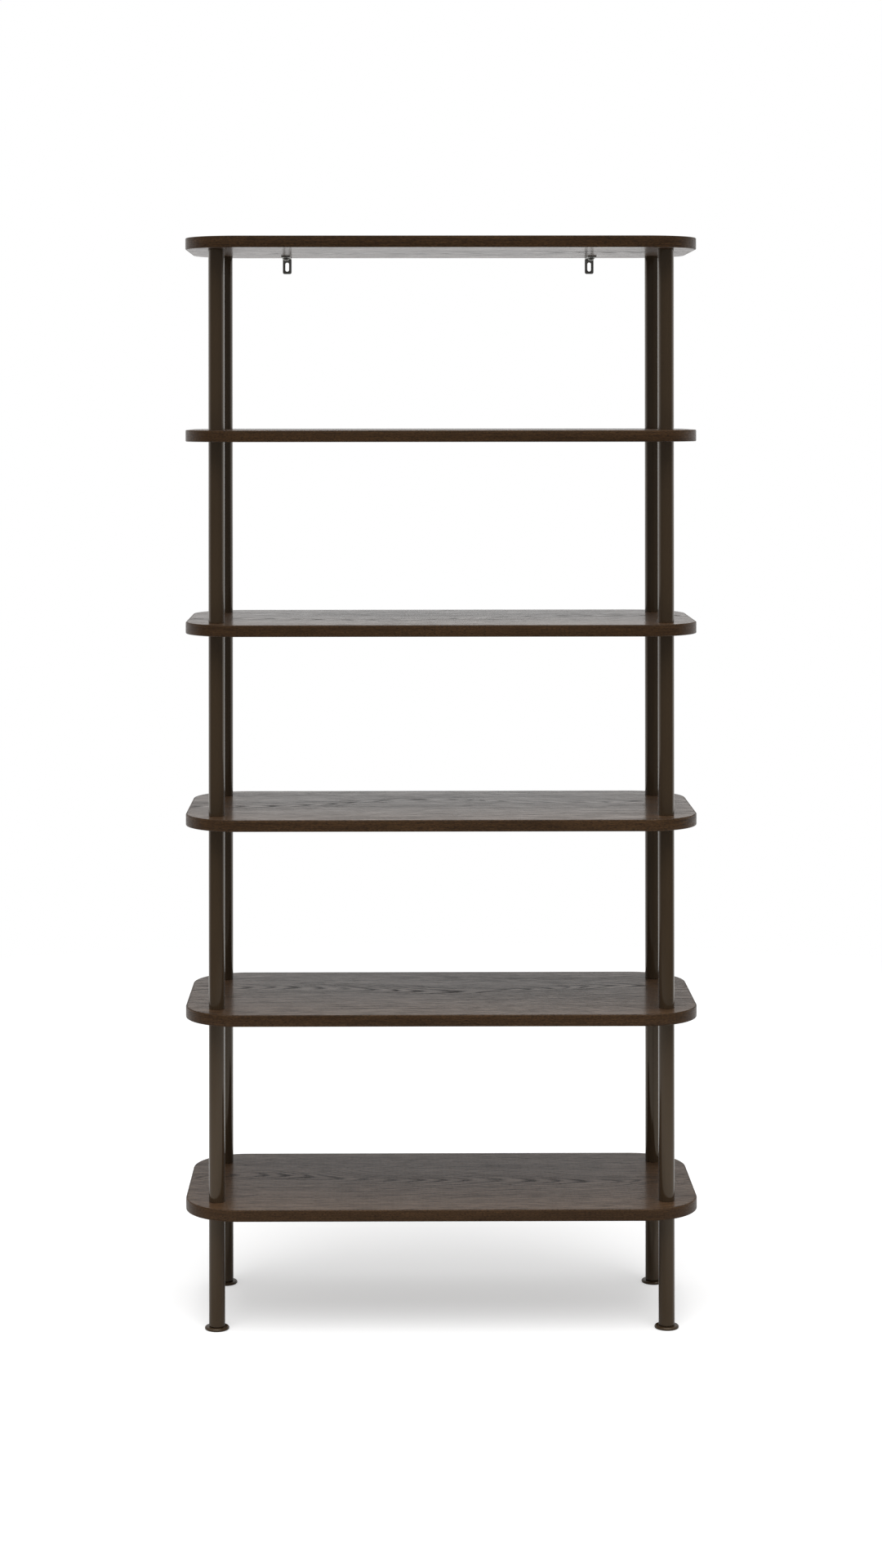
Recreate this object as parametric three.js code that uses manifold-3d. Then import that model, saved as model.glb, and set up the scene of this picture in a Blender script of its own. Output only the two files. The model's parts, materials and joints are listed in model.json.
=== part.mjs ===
// Shelving unit: six round-cornered boards held apart by four columns of round tube, on levelling feet.
// Millimetres, +Z up. The front faces -Y, and the origin is on the floor under the middle of the boards.

import * as THREE from 'three';
import { mergeVertices } from 'three/addons/utils/BufferGeometryUtils.js';
import Module from 'manifold-3d';

const wasm = await Module();
wasm.setup();

// Boards
const boardWidth = 800;
const boardDepth = 350;
const boardThickness = 18;
const boardCornerRadius = 85;
const boardEdgeEasing = 1.5;
const boardCount = 6;
const bayHeight = 282;

// Tubes of the posts and legs, each with a threaded plug welded into its ends
const tubeDiameter = 25;
const tubeWall = 1.5;
const plugDepth = 12;
const legLength = 175;
const postInsetFromEnd = 50;
const postInsetFromFront = 54;

// Studs that join the tubes through the boards
const studDiameter = 8;
const studGrip = 11;
const threadClearance = 0.4;
const boardHoleClearance = 0.5;
const topBoardCover = 5;
const blindHoleEndClearance = 1;

// Levelling feet
const footDiameter = 38;
const footThickness = 4.5;
const footRimRadius = 2;
const footNeckDiameter = 20;
const footNeckHeight = 1;
const stemDiameter = 10;
const stemLength = 30;
const stemChamfer = 1;

// Wall brackets, bent from flat strip
const bracketSpacing = 500;
const bracketWidth = 14.5;
const bracketThickness = 2;
const bracketBendRadius = 2;
const bracketCornerRadius = 3;
const bracketGap = 0.3;
const wallSlotWidth = 6;
const wallSlotLength = 14.8;
const wallSlotBelowBoard = 7.3;
const wallSlotEndMargin = 4.2;
const bracketTravel = 20;
const longSlotWidth = 5.4;
const longSlotEndMargin = 7.3;

// Screws and washers that clamp the brackets to the top board
const screwSetback = 50;
const screwShankDiameter = 4.5;
const screwHeadDiameter = 9;
const screwHeadHeight = 3.2;
const screwHeadRim = 0.8;
const screwTipLength = 4;
const screwRecessWidth = 1.2;
const screwRecessSpan = 4.6;
const screwRecessDepth = 1.6;
const screwHoleClearance = 0.4;
const washerDiameter = 11;
const washerThickness = 1;

// How finely the round shapes are cut
const tubeSides = 20;
const studSides = 12;
const boardArcSegments = 6;
const bracketArcSegments = 3;
const domeSteps = 3;

// How far a cutter runs past the face that it cuts
const cutOverrun = 2;

// Worked out from the sizes above
const tubeRadius = tubeDiameter / 2;
const studRadius = studDiameter / 2;
const stemRadius = stemDiameter / 2;
const threadHoleRadius = studRadius + threadClearance;
const footHeight = footThickness + footNeckHeight;
const postX = boardWidth / 2 - postInsetFromEnd;
const postY = boardDepth / 2 - postInsetFromFront;
const firstBoardBottom = footHeight + legLength;
const boardPitch = bayHeight + boardThickness;
const boardBottom = (index) => firstBoardBottom + index * boardPitch;
const boardTop = (index) => boardBottom(index) + boardThickness;
const topBoardIndex = boardCount - 1;
const topBoardBottom = boardBottom(topBoardIndex);
const blindHoleDepth = boardThickness - topBoardCover;
const topStudLength = blindHoleDepth - blindHoleEndClearance;
const bracketX = bracketSpacing / 2;
const screwY = boardDepth / 2 - screwSetback;
const screwHoleRadius = screwShankDiameter / 2 + screwHoleClearance;

const columns = [
  { name: 'front_left', x: -postX, y: -postY },
  { name: 'front_right', x: postX, y: -postY },
  { name: 'rear_left', x: -postX, y: postY },
  { name: 'rear_right', x: postX, y: postY },
];
const bracketSides = [
  { name: 'left', x: -bracketX },
  { name: 'right', x: bracketX },
];

// Finishes
const finishes = {
  stainedOak: { color: 0x3d2f24, roughness: 0.4, metalness: 0 },
  bronzePaint: { color: 0x3c3228, roughness: 0.35, metalness: 0.4 },
  zincPlate: { color: 0x8d9294, roughness: 0.35, metalness: 1 },
};

const unit = new THREE.Group();

function addMesh(parent, name, geometry, finish, x, y, z) {
  const mesh = new THREE.Mesh(geometry, new THREE.MeshStandardMaterial(finishes[finish]));
  mesh.name = name;
  mesh.position.set(x, y, z);
  parent.add(mesh);
}

// Solids for cutting and joining

function toSolid(geometry) {
  const bare = geometry.index ? geometry.toNonIndexed() : geometry.clone();
  bare.deleteAttribute('normal');
  bare.deleteAttribute('uv');
  const merged = mergeVertices(bare);
  return new wasm.Manifold(
    new wasm.Mesh({
      numProp: 3,
      vertProperties: Float32Array.from(merged.attributes.position.array),
      triVerts: Uint32Array.from(merged.index.array),
    }),
  );
}

function toGeometry(solid) {
  const mesh = solid.getMesh();
  const geometry = new THREE.BufferGeometry();
  geometry.setAttribute('position', new THREE.BufferAttribute(mesh.vertProperties, mesh.numProp));
  geometry.setIndex(new THREE.BufferAttribute(mesh.triVerts, 1));
  geometry.computeVertexNormals();
  return geometry;
}

// A turned shape standing on +Z, from a profile of [radius, height] pairs
function turned(profile, sides) {
  const points = profile.map(([radius, height]) => new THREE.Vector2(radius, height));
  return new THREE.LatheGeometry(points, sides).rotateX(Math.PI / 2);
}

// A round cutter that stands on +Z from the height given
function drill(radius, length, x, y, bottom) {
  const cylinder = new THREE.CylinderGeometry(radius, radius, length, studSides);
  return toSolid(cylinder.rotateX(Math.PI / 2).translate(x, y, bottom + length / 2));
}

// The outline of a plate, its corners rounded by one radius at its low end and another at its high end
function plateOutline(width, low, high, lowRadius, highRadius) {
  const side = width / 2;
  const corners = [
    { x: side - lowRadius, y: low + lowRadius, radius: lowRadius },
    { x: side - highRadius, y: high - highRadius, radius: highRadius },
    { x: -side + highRadius, y: high - highRadius, radius: highRadius },
    { x: -side + lowRadius, y: low + lowRadius, radius: lowRadius },
  ];
  const outline = new THREE.Shape();
  corners.forEach(({ x, y, radius }, corner) => {
    const start = (corner - 1) * (Math.PI / 2);
    if (radius > 0) {
      outline.absarc(x, y, radius, start, start + Math.PI / 2);
    } else {
      outline.lineTo(x, y);
    }
  });
  return outline;
}

function extruded(outline, length) {
  const settings = { depth: length, bevelEnabled: false, curveSegments: bracketArcSegments };
  return new THREE.ExtrudeGeometry(outline, settings);
}

// Boards

function boardBlank() {
  const halfDepth = boardDepth / 2;
  const outline = plateOutline(boardWidth, -halfDepth, halfDepth, boardCornerRadius, boardCornerRadius);
  const geometry = new THREE.ExtrudeGeometry(outline, {
    depth: boardThickness - 2 * boardEdgeEasing,
    bevelThickness: boardEdgeEasing,
    bevelSize: boardEdgeEasing,
    bevelOffset: -boardEdgeEasing,
    bevelSegments: 1,
    curveSegments: boardArcSegments,
  });
  return toSolid(geometry.translate(0, 0, boardEdgeEasing));
}

function throughDrilledBoard() {
  let board = boardBlank();
  for (const column of columns) {
    const length = boardThickness + 2 * cutOverrun;
    board = board.subtract(drill(studRadius + boardHoleClearance, length, column.x, column.y, -cutOverrun));
  }
  return board;
}

function topBoard() {
  let board = boardBlank();
  for (const column of columns) {
    const length = blindHoleDepth + cutOverrun;
    board = board.subtract(drill(studRadius + boardHoleClearance, length, column.x, column.y, -cutOverrun));
  }
  for (const side of bracketSides) {
    const length = blindHoleDepth + cutOverrun;
    board = board.subtract(drill(screwHoleRadius, length, side.x, screwY, -cutOverrun));
  }
  return board;
}

// Tubes

// Closed loop: up the outside, then down through the two threaded plugs and the hollow between them
function pluggedTube(length, lowerHoleRadius) {
  const hollowRadius = tubeRadius - tubeWall;
  return turned(
    [
      [tubeRadius, 0],
      [tubeRadius, length],
      [threadHoleRadius, length],
      [threadHoleRadius, length - plugDepth],
      [hollowRadius, length - plugDepth],
      [hollowRadius, plugDepth],
      [lowerHoleRadius, plugDepth],
      [lowerHoleRadius, 0],
      [tubeRadius, 0],
    ],
    tubeSides,
  );
}

// The top post ends in a welded stud, so its upper plug is solid
function studdedTube(length) {
  const hollowRadius = tubeRadius - tubeWall;
  const studTop = length + topStudLength;
  return turned(
    [
      [0, length - plugDepth],
      [hollowRadius, length - plugDepth],
      [hollowRadius, plugDepth],
      [threadHoleRadius, plugDepth],
      [threadHoleRadius, 0],
      [tubeRadius, 0],
      [tubeRadius, length],
      [studRadius, length],
      [studRadius, studTop],
      [0, studTop],
    ],
    tubeSides,
  );
}

function joiningStud() {
  const length = boardThickness + 2 * studGrip;
  return turned(
    [
      [0, 0],
      [studRadius, 0],
      [studRadius, length],
      [0, length],
    ],
    studSides,
  );
}

// Feet

// The disc's rim as one half round, drawn as short chords from the lower face to the upper one
function footRim() {
  const radius = Math.min(footRimRadius, footThickness / 2);
  const centre = footDiameter / 2 - radius;
  const quarterTurn = (middle, start) =>
    Array.from({ length: domeSteps + 1 }, (_, step) => {
      const angle = start + (step / domeSteps) * (Math.PI / 2);
      return [centre + radius * Math.cos(angle), middle + radius * Math.sin(angle)];
    });
  return [...quarterTurn(radius, -Math.PI / 2), ...quarterTurn(footThickness - radius, 0)];
}

function levellingFoot() {
  const stemTop = footHeight + stemLength;
  return turned(
    [
      [0, 0],
      ...footRim(),
      [footNeckDiameter / 2, footThickness],
      [footNeckDiameter / 2, footHeight],
      [stemRadius, footHeight],
      [stemRadius, stemTop - stemChamfer],
      [stemRadius - stemChamfer, stemTop],
      [0, stemTop],
    ],
    tubeSides,
  );
}

// Wall brackets

// Local places: X across the strip, Y = 0 at the rear face of the plate, Z = 0 at the top of the flat leg
function wallBracket() {
  const reach = screwSetback + bracketTravel + longSlotWidth / 2 + longSlotEndMargin;
  const drop = wallSlotBelowBoard + wallSlotLength + wallSlotEndMargin - bracketGap;
  const outerBend = bracketBendRadius + bracketThickness;

  // The L section, drawn with the strip's reach along x and its height along y
  const section = new THREE.Shape();
  section.moveTo(0, -drop);
  section.lineTo(0, -outerBend);
  section.absarc(-outerBend, -outerBend, outerBend, 0, Math.PI / 2);
  section.lineTo(-reach, 0);
  section.lineTo(-reach, -bracketThickness);
  section.lineTo(-outerBend, -bracketThickness);
  section.absarc(-outerBend, -outerBend, bracketBendRadius, Math.PI / 2, 0, true);
  section.lineTo(-bracketThickness, -drop);
  const strip = extruded(section, bracketWidth).translate(0, 0, -bracketWidth / 2);
  strip.rotateX(Math.PI / 2).rotateZ(Math.PI / 2);

  const plate = plateOutline(bracketWidth, -drop, cutOverrun, bracketCornerRadius, 0);
  const plateBlock = extruded(plate, reach + 2 * cutOverrun);
  plateBlock.rotateX(Math.PI / 2).translate(0, cutOverrun, 0);
  const flatLeg = plateOutline(bracketWidth, -reach, cutOverrun, bracketCornerRadius, 0);
  const flatLegBlock = extruded(flatLeg, drop + 2 * cutOverrun).translate(0, 0, -drop - cutOverrun);

  const slotTop = bracketGap - wallSlotBelowBoard;
  const wallSlotRadius = wallSlotWidth / 2;
  const slotBottom = slotTop - wallSlotLength;
  const wallSlot = plateOutline(wallSlotWidth, slotBottom, slotTop, wallSlotRadius, wallSlotRadius);
  const wallSlotCutter = extruded(wallSlot, bracketThickness + 2 * cutOverrun);
  wallSlotCutter.rotateX(Math.PI / 2).translate(0, cutOverrun, 0);

  const longSlotRadius = longSlotWidth / 2;
  const slotRear = -screwSetback + longSlotRadius;
  const slotFront = -screwSetback - bracketTravel - longSlotRadius;
  const longSlot = plateOutline(longSlotWidth, slotFront, slotRear, longSlotRadius, longSlotRadius);
  const longSlotCutter = extruded(longSlot, bracketThickness + 2 * cutOverrun);
  longSlotCutter.translate(0, 0, -bracketThickness - cutOverrun);

  return toSolid(strip)
    .intersect(toSolid(plateBlock))
    .intersect(toSolid(flatLegBlock))
    .subtract(toSolid(wallSlotCutter))
    .subtract(toSolid(longSlotCutter));
}

// Local places: Z = 0 under the head's seat, the shank upwards, the dome downwards
function bracketScrew(shankLength) {
  const headRadius = screwHeadDiameter / 2;
  const shankRadius = screwShankDiameter / 2;
  const domeHeight = screwHeadHeight - screwHeadRim;
  const dome = Array.from({ length: domeSteps }, (_, step) => {
    const angle = ((step + 1) / domeSteps) * (Math.PI / 2);
    return [headRadius * Math.sin(angle), -screwHeadRim - domeHeight * Math.cos(angle)];
  });
  const screw = turned(
    [
      [0, -screwHeadHeight],
      ...dome,
      [headRadius, 0],
      [shankRadius, 0],
      [shankRadius, shankLength - screwTipLength],
      [0, shankLength],
    ],
    studSides,
  );
  const recess = (across, along) =>
    toSolid(
      new THREE.BoxGeometry(across, along, screwRecessDepth + cutOverrun)
        .translate(0, 0, screwRecessDepth - screwHeadHeight - (screwRecessDepth + cutOverrun) / 2),
    );
  return toSolid(screw)
    .subtract(recess(screwRecessWidth, screwRecessSpan))
    .subtract(recess(screwRecessSpan, screwRecessWidth));
}

function bracketWasher() {
  return turned(
    [
      [washerDiameter / 2, 0],
      [washerDiameter / 2, washerThickness],
      [screwHoleRadius, washerThickness],
      [screwHoleRadius, 0],
      [washerDiameter / 2, 0],
    ],
    tubeSides,
  );
}

// Assembly

function addBoards() {
  for (let index = 0; index < boardCount; index += 1) {
    const board = index === topBoardIndex ? topBoard() : throughDrilledBoard();
    addMesh(unit, `shelf_${index + 1}`, toGeometry(board), 'stainedOak', 0, 0, boardBottom(index));
  }
}

function addColumn(column) {
  const group = new THREE.Group();
  group.position.set(column.x, column.y, 0);
  unit.add(group);
  const addPiece = (name, geometry, finish, bottom) => {
    addMesh(group, name, geometry, finish, 0, 0, bottom);
  };
  const leg = pluggedTube(legLength, stemRadius + threadClearance);

  addPiece(`foot_${column.name}`, levellingFoot(), 'bronzePaint', 0);
  addPiece(`leg_${column.name}`, leg, 'bronzePaint', footHeight);
  for (let number = 1; number <= topBoardIndex; number += 1) {
    const isTopPost = number === topBoardIndex;
    const tube = isTopPost ? studdedTube(bayHeight) : pluggedTube(bayHeight, threadHoleRadius);
    const boardUnder = number - 1;
    const studBottom = boardBottom(boardUnder) - studGrip;
    addPiece(`stud_${column.name}_${number}`, joiningStud(), 'zincPlate', studBottom);
    addPiece(`post_${column.name}_${number}`, tube, 'bronzePaint', boardTop(boardUnder));
  }
}

function addWallBracket(side) {
  const bracketTop = topBoardBottom - bracketGap;
  const washerTop = bracketTop - bracketThickness - bracketGap;
  const headSeat = washerTop - washerThickness;
  const screwTip = topBoardBottom + blindHoleDepth - blindHoleEndClearance;
  const addPiece = (name, geometry, y, z) => {
    addMesh(unit, `${name}_${side.name}`, geometry, 'zincPlate', side.x, y, z);
  };

  addPiece('wall_bracket', toGeometry(wallBracket()), boardDepth / 2, bracketTop);
  addPiece('bracket_washer', bracketWasher(), screwY, headSeat);
  addPiece('bracket_screw', toGeometry(bracketScrew(screwTip - headSeat)), screwY, headSeat);
}

addBoards();
columns.forEach(addColumn);
bracketSides.forEach(addWallBracket);

export default unit;
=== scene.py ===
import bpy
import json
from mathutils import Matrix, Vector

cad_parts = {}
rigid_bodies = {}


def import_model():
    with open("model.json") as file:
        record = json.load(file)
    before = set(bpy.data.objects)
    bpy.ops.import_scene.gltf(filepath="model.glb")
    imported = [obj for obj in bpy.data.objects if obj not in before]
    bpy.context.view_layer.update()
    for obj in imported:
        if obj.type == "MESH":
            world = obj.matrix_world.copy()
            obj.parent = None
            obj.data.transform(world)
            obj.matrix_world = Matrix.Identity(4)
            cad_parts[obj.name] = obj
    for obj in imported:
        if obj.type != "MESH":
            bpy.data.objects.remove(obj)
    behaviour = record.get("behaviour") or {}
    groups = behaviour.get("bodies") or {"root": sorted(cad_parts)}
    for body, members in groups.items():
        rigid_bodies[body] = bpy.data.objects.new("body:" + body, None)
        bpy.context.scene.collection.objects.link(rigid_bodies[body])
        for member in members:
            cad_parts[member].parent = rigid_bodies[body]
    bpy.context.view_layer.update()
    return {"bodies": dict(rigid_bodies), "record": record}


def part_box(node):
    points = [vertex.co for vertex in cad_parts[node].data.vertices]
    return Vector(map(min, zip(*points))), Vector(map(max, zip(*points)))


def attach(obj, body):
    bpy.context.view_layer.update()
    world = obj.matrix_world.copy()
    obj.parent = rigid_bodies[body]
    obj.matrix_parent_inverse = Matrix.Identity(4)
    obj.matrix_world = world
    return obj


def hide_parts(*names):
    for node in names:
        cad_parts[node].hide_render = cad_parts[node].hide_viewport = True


bl_info = {
    "name": "Round-cornered shelving unit",
    "version": (1, 0, 0),
    "blender": (4, 5, 0),
    "location": "3D View > Sidebar > Shelving",
    "description": "Dresses the boards, tubes, feet and wall brackets of a shelving unit on its CAD frame",
    "category": "Add Mesh",
}

import json
import math
from typing import NamedTuple

import bmesh
import bpy
from bpy.props import FloatProperty, FloatVectorProperty, PointerProperty
from mathutils import Vector

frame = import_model()

COLUMNS = ("front_left", "front_right", "rear_left", "rear_right")
SIDES = ("left", "right")
BOARD_COUNT = 6
BAY_COUNT = 5
BODY_OF_NODE = {
    node: body
    for body, nodes in frame["record"]["behaviour"]["bodies"].items()
    for node in nodes
}

# The shelving unit's own sizes that its CAD boxes give
BOARD_LOW, BOARD_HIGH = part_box("shelf_1")
POST_LOW, POST_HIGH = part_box("post_front_left_1")
TOP_POST_LOW, TOP_POST_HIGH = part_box("post_front_left_5")
LEG_LOW, LEG_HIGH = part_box("leg_front_left")
FOOT_LOW, FOOT_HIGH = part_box("foot_front_left")
STUD_LOW, STUD_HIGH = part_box("stud_front_left_1")
BRACKET_LOW, BRACKET_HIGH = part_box("wall_bracket_left")
SCREW_LOW, SCREW_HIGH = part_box("bracket_screw_left")
WASHER_LOW, WASHER_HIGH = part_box("bracket_washer_left")
TOP_BOARD_LOW, TOP_BOARD_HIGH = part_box("shelf_6")
BOARD_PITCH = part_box("shelf_2")[0].z - BOARD_LOW.z

# How finely the round shapes are made, how far a cutter runs past what it cuts, and how near two places are
# to count as one when they are compared, merged or cut through
CORNER_SEGMENTS = 24
EASING_SEGMENTS = 4
TUBE_SIDES = 64
THREAD_SIDES = 20
SMALL_SIDES = 32
BEND_STEPS = 8
SLOT_SEGMENTS = 10
RIM_STEPS = 8
DOME_STEPS = 10
BREAK_SEGMENTS = 2
OVERRUN = 0.002
SAME_PLACE = 0.00001
MERGE_REACH = 0.000001
CUT_REACH = 0.0000001
THREAD_SLACK = 0.00002
SMOOTH_ANGLE = math.radians(32)
SHARP_ANGLE = math.radians(35)
FACING = 0.9
FULL_TURN = 2 * math.pi
QUARTER_TURN = FULL_TURN / 4

# A thread's tooth: its depth as a share of the pitch, the turns that are wound under the rod and cut off, and
# the steps of its outline, each as a share of the depth outwards and a share of the pitch upwards
TOOTH_DEPTH_SHARE = 0.6134
SPARE_TURNS = 2
TOOTH_SHARES = ((0, 0.25), (1, 0.3125), (0, 0.125), (-1, 0.3125))

# The order of a board's materials, and the materials made so far
VENEER_PLACE, BAND_PLACE, GLUE_PLACE = range(3)
MADE = {}

# The middle of a noise, and the sockets of a Mix node for colours
HALF = 0.5
MIX_FACTOR, MIX_FIRST, MIX_SECOND, MIX_RESULT = 0, 6, 7, 2


class Layer(NamedTuple):
    """A noise stretched along the grain: its repeats in a metre, its own seed and its share in the tone."""

    along: float
    across: float
    seed: float = 0
    detail: float = 1.0
    roughness: float = HALF
    share: float = 1.0


# Plain-sawn veneer: its tone drifts in patches, streaks, fibres and dashes
VENEER_PATCH = Layer(1.4, 26.0, seed=5, detail=2.0, share=0.6)
VENEER_STREAK = Layer(6.0, 170.0, seed=9, detail=3.0, roughness=0.6, share=1.1)
VENEER_FIBRE = Layer(12.0, 620.0, detail=4.0, roughness=0.65, share=1.1)
VENEER_DASH = Layer(30.0, 260.0, seed=7, detail=3.0, roughness=0.7, share=2.3)
VENEER_PORE = Layer(150.0, 2200.0)
VENEER_LIGHT = 0.66
VENEER_BOARD_STEP, VENEER_SEED_STEP = 0.9, 3.7

# Its rings: they crowd beside a spine that wanders over the board, and cross the grain in arcs on it
SPINE = Layer(1.5, 1.0, seed=3)
SPINE_SWING = 0.45
CROWN_WIDTH = 0.02
RING_WIDTH = 0.007
RING_SLOPE = 0.16
RING_WANDER = Layer(5.0, 28.0, seed=2, detail=3.0)
RING_WANDER_REACH = 0.016
RING_SPACING = Layer(45.0, 1.0)
RING_SPACING_REACH = 2 * RING_WIDTH
RING_BOLDNESS = Layer(30.0, 1.0, seed=8)
RING_BOLD_RANGE = (-0.1, 2.1)
RING_CROWN_RANGE = (0.5, 1.0)
RING_DASH_RANGE = (1.8, 0.2)
RING_SHARPNESS = 2
RING_DARKNESS = 0.75

# The edge band: quarter-sawn, with flecks and straight fibres
BAND_PATCH = Layer(3.0, 40.0, seed=5, detail=3.0, share=1.0)
BAND_FIBRE = Layer(16.0, 900.0, detail=3.0, roughness=0.65, share=1.3)
BAND_FLECK = Layer(70.0, 1000.0, seed=7, detail=3.0, roughness=0.7, share=1.3)
BAND_PORE = Layer(260.0, 2400.0)
BAND_LIGHT = 0.55
BAND_BOARD_STEP, BAND_SEED_STEP = 1.7, 2.3

# Stain and satin lacquer of veneer and band, and the glue line between them
PORE_STOPS = ((0.52, 0), (0.60, 1))
PORE_LEAST_RANGE = (0.25, 1.0)
PORE_STAIN = 0.7
FIBRE_RELIEF, DASH_RELIEF, FLECK_RELIEF = 0.5, 0.3, 0.5
WOOD_BUMP, WOOD_BUMP_HEIGHT = 0.35, 0.0001
WOOD_ROUGHNESS = 0.5
WOOD_SPECULAR = 0.15
BAND_ROUGHENING = 0.15
PORE_ROUGHENING = 0.2
COAT_RANGE = (0.27, 0.72)
COAT_LOST_IN_PORES = 0.2
GLUE_PATCHES = 180.0
GLUE_ROUGHNESS = 0.6

# Powder coat: repeats in a metre of its orange peel, its grain and its slow drift, and what they change
PEEL, GRAIN, DRIFT = 900.0, 4200.0, 14.0
DRIFT_DETAIL = 2.0
PAINT_LIGHTER, PAINT_DARKER = 1.18, 0.84
PAINT_DRIFT_SHARE = 0.6
PAINT_GRAIN_RELIEF = 0.3
PAINT_BUMP, PAINT_BUMP_HEIGHT = 0.18, 0.00005
PAINT_GLOSS_DRIFT = 0.03
PAINT_SPECULAR = 0.55
PAINT_TINT = (1, 0.87, 0.72)

# Zinc plate: repeats in a metre of its rolling lines, along and across them, and of its cloudy patches
ROLLING_LINES, ROLLING_LENGTHS, CLOUDS = 2600.0, 90.0, 240.0
ZINC_DETAIL = 3.0
ZINC_DULLER = 0.72
ZINC_BUMP, ZINC_BUMP_HEIGHT = 0.2, 0.00004
ZINC_CLOUD_ROUGHENING, ZINC_LINE_ROUGHENING, ZINC_SMOOTHING = 0.22, 0.1, 0.12

# The white floor, dim far in front of the unit where only glosses see it
FLOOR_SIZE = 60.0
FLOOR_LIT_SHARE = 0.68
FLOOR_WHITE = 1.15
FLOOR_DIM = 0.2
NEAR_RADIUS = 1.5
FAR_RADIUS = 3.2

# The share of light that the floor throws back on the unit. It is less from close by in front, a painted
# shade:
# there the floor's colour for that light is darker. It rises between these distances from the middle and
# between these places towards the back.
PAINTED_SHADE_BOUNCE, BOUNCE_ELSEWHERE = 0.38, 0.72
BOUNCE_DISTANCES = (0.4, 1.1)
BOUNCE_PLACES = (-0.2, -0.05)

WHITE = (1, 1, 1)

# The white room: places on a ramp from straight down to straight up, or from front to back, and their levels
LAMP_HEIGHT = 4.0
BEHIND_STOPS = ((0.40, 0), (0.66, 1))
ABOVE_STOPS = ((0.70, 0), (0.95, 1))
BACK_STOPS = (
    (0.51, 1.0), (0.535, 0.95), (0.57, 0.66), (0.60, 0.46), (0.63, 0.34), (0.70, 0.27), (1.0, 0.27),
)
FRONT_STOPS = ((0.60, 0.4), (0.80, 1.0))


def length(name, description, default):
    return FloatProperty(
        name=name, description=description, default=default, min=0, precision=5,
        unit="LENGTH", subtype="DISTANCE",
    )


def share(name, description, default):
    return FloatProperty(
        name=name, description=description, default=default, min=0, max=1, subtype="FACTOR",
    )


def colour(name, description, default):
    return FloatVectorProperty(
        name=name, description=description, default=default, size=3, min=0, max=1, subtype="COLOR",
    )


def rotation(name, description, default):
    return FloatProperty(
        name=name, description=description, default=default, unit="ROTATION", subtype="ANGLE",
    )


def strength(name, description, default):
    return FloatProperty(name=name, description=description, default=default, min=0)


class ShelvingSizes(bpy.types.PropertyGroup):
    """Sizes of the dressed pieces, in metres."""

    board_corner: length("Board corner", "Radius of the boards' corners", 0.085)
    board_easing: length("Board easing", "Radius of the boards' long edges", 0.0015)
    band_reach: length("Band reach", "Flat strip of edge band that shows on a face", 0.0006)
    glue_line: length("Glue line", "Width of the line between band and veneer", 0.0002)
    stud_hole: length("Stud hole", "Radius of the stud holes in the boards", 0.0045)
    screw_hole: length("Screw hole", "Radius of the screw holes", 0.00265)
    blind_depth: length("Blind depth", "Depth of the holes in the top board", 0.013)
    tube_wall: length("Tube wall", "Wall thickness of the tubes", 0.0015)
    tube_chamfer: length("Tube chamfer", "Chamfer on the tubes' outer ends", 0.0004)
    plug_depth: length("Plug depth", "Depth of the welded end plugs", 0.012)
    stud_thread: length("Stud thread", "Radius of the threaded hole for a stud", 0.0044)
    foot_thread: length("Foot thread", "Radius of the threaded hole for a foot", 0.0054)
    foot_thickness: length("Foot thickness", "Thickness of a foot's disc", 0.0045)
    foot_rim: length("Foot rim", "Radius of the foot disc's rim", 0.002)
    foot_neck: length("Foot neck", "Radius of the neck over a foot's disc", 0.010)
    foot_stem: length("Foot stem", "Radius of a foot's threaded stem", 0.005)
    foot_pitch: length("Foot pitch", "Pitch of a foot's thread", 0.0015)
    stud_pitch: length("Stud pitch", "Pitch of a stud's thread", 0.00125)
    thread_chamfer: length("Thread chamfer", "Chamfer at the ends of a thread", 0.001)
    bracket_thickness: length("Bracket thickness", "Thickness of the brackets' strip", 0.002)
    bracket_bend: length("Bracket bend", "Inner radius of the brackets' bend", 0.002)
    bracket_corner: length("Bracket corner", "Radius of the brackets' corners", 0.003)
    bracket_break: length("Bracket break", "Rounding of the brackets' sheared edges", 0.0002)
    wall_slot_width: length("Wall slot width", "Width of the slot for the wall screw", 0.006)
    wall_slot_length: length("Wall slot length", "Length of the slot for the wall screw", 0.0148)
    wall_slot_margin: length("Wall slot margin", "Strip left under the wall slot", 0.0042)
    long_slot_width: length("Long slot width", "Width of the slot in the flat leg", 0.0054)
    long_slot_margin: length("Long slot margin", "Strip left in front of the long slot", 0.0073)
    bracket_travel: length("Bracket travel", "How far a bracket slides on its screw", 0.020)
    screw_shank: length("Screw shank", "Radius of a screw's shank", 0.00225)
    screw_head: length("Screw head", "Height of a screw's domed head", 0.0032)
    screw_rim: length("Screw rim", "Height of the straight rim of a screw's head", 0.0008)
    screw_tip: length("Screw tip", "Length of a screw's tapered tip", 0.004)
    screw_pitch: length("Screw pitch", "Pitch of a screw's thread", 0.0016)
    recess_width: length("Recess width", "Width of the cross recess's arms", 0.0012)
    recess_span: length("Recess span", "Span of the cross recess", 0.0046)
    recess_depth: length("Recess depth", "Depth of the cross recess", 0.0016)
    washer_break: length("Washer break", "Rounding of a washer's edges", 0.0002)


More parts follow.
